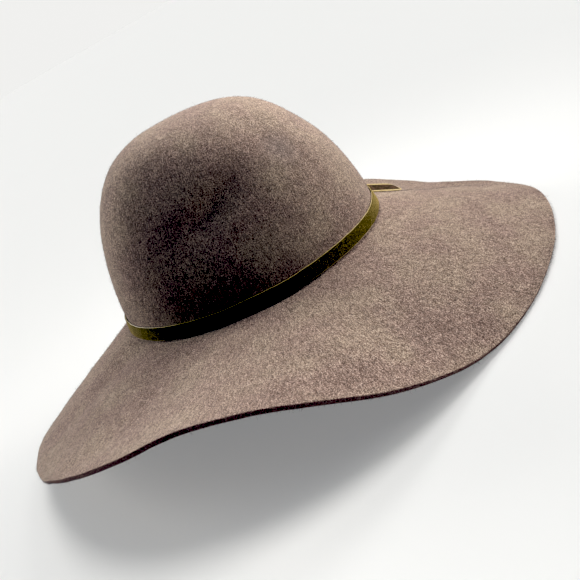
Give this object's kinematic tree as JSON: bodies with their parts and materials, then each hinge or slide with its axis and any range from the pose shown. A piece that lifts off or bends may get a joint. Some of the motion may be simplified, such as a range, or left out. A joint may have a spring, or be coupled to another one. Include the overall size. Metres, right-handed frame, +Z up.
{
  "type": "wide-brim felt hat",
  "caption": "Floppy wide-brim hat of wool felt with a round crown, a sagging wavy brim and a narrow velvet ribbon tied at the back.",
  "frame": {"origin": "middle of the hat's outline, on the surface that the brim rests on", "axes": "+Z up, +Y from the front of the hat to the back, where the ribbon is tied"},
  "size_m": [0.418, 0.4314, 0.1867],
  "materials": {
    "felt": "matt taupe brown wool felt with a heathered nap",
    "velvet": "dark olive brown velvet ribbon with gold olive selvages"
  },
  "bodies": {
    "root": {"felt_body": "felt", "ribbon_band": "velvet", "ribbon_knot": "velvet", "ribbon_tail_right": "velvet", "ribbon_tail_left": "velvet"}
  },
  "joints": []
}
